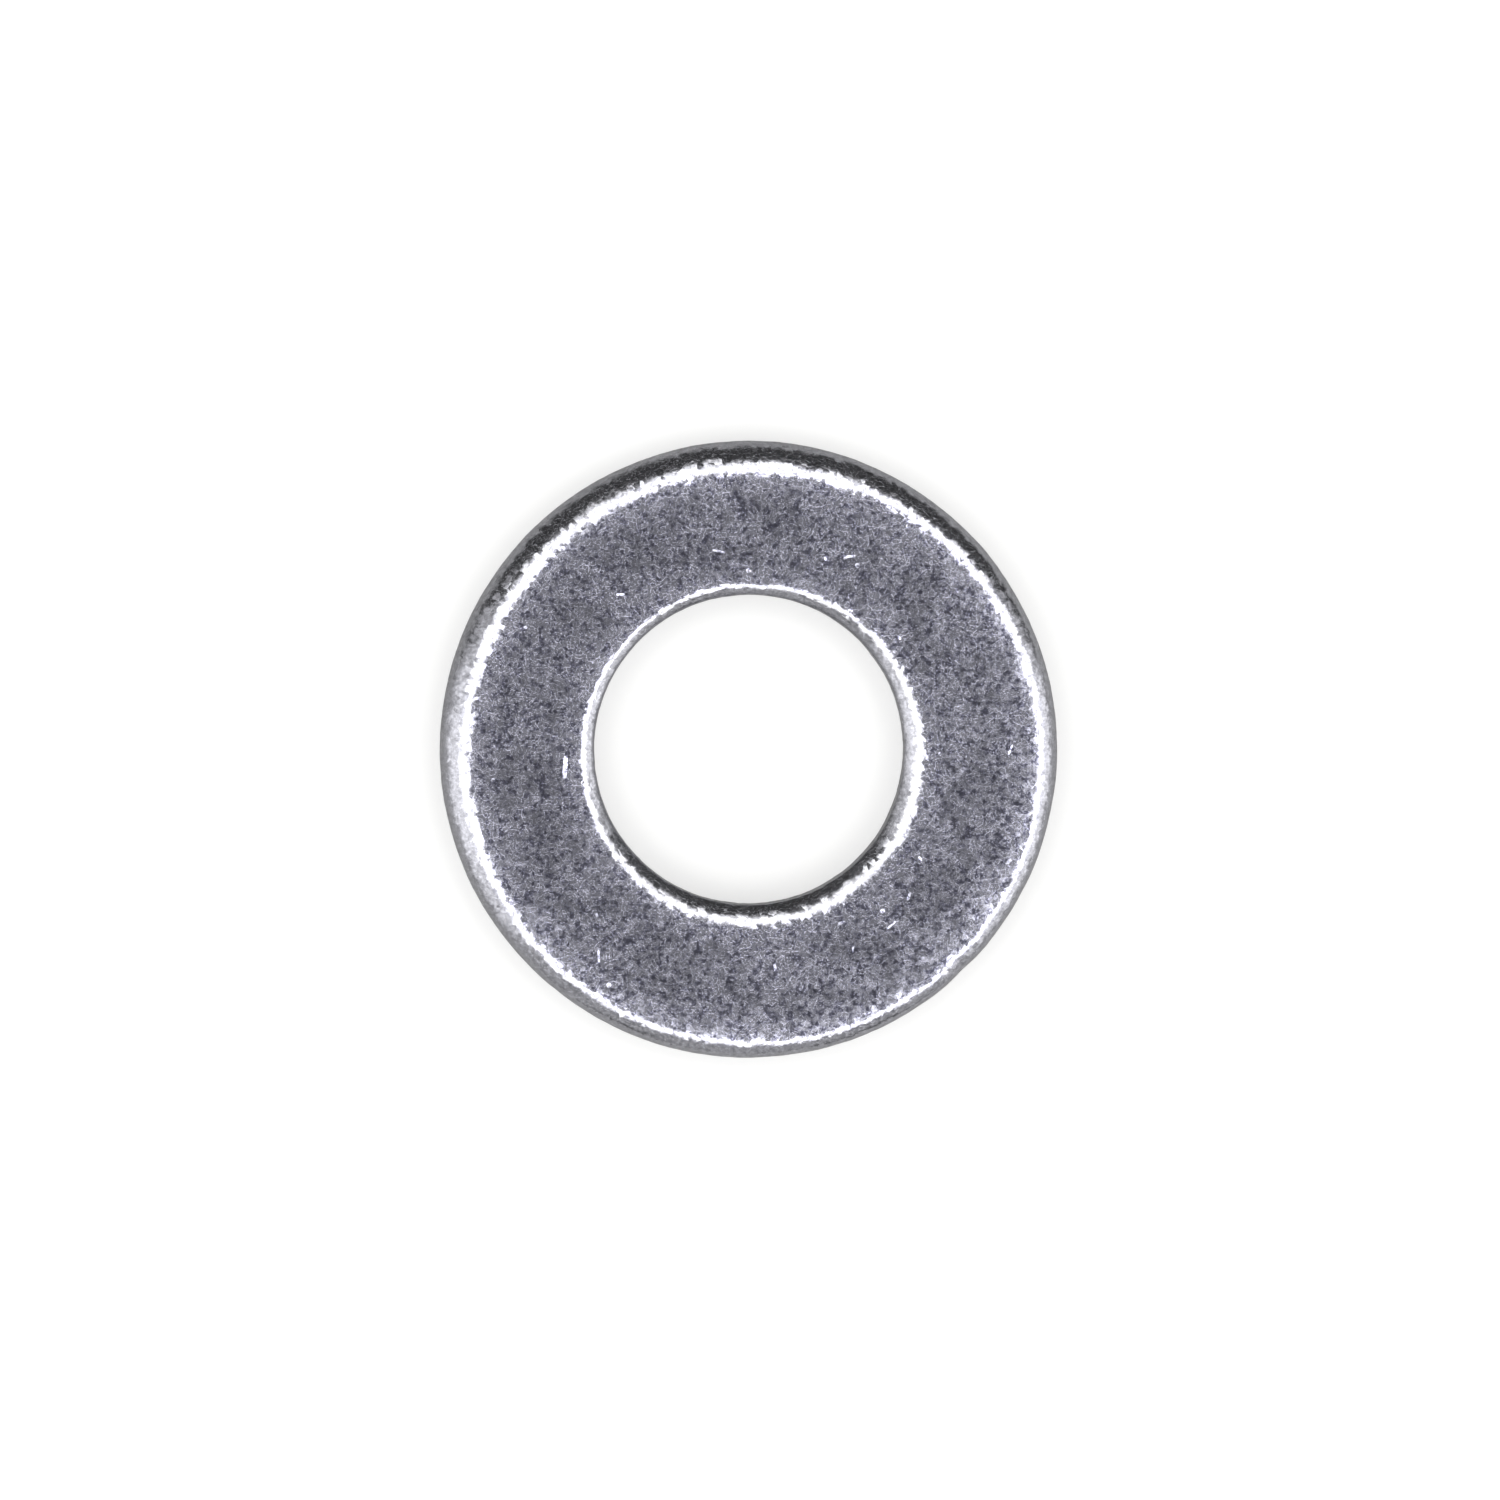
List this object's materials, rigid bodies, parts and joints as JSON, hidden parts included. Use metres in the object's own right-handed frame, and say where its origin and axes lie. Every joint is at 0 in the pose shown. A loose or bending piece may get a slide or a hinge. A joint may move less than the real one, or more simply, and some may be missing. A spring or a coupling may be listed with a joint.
{
  "type": "flat washer",
  "caption": "Round flat washer of plated sheet steel with a plain bolt hole and rolled-over edges on one face.",
  "frame": {"origin": "on the bore axis, in the plane of the bottom face that the washer rests on", "axes": "+Z along the bore axis, from the sharper bottom face towards the face with the rolled edges; X and Y are free, because the washer is round"},
  "size_m": [0.0174, 0.0174, 0.0017],
  "materials": {
    "zinc_plate": "clear zinc plate over tumbled sheet steel, satin and finely pitted, brighter on the rolled edges"
  },
  "bodies": {
    "root": {"washer": "zinc_plate"}
  },
  "joints": []
}
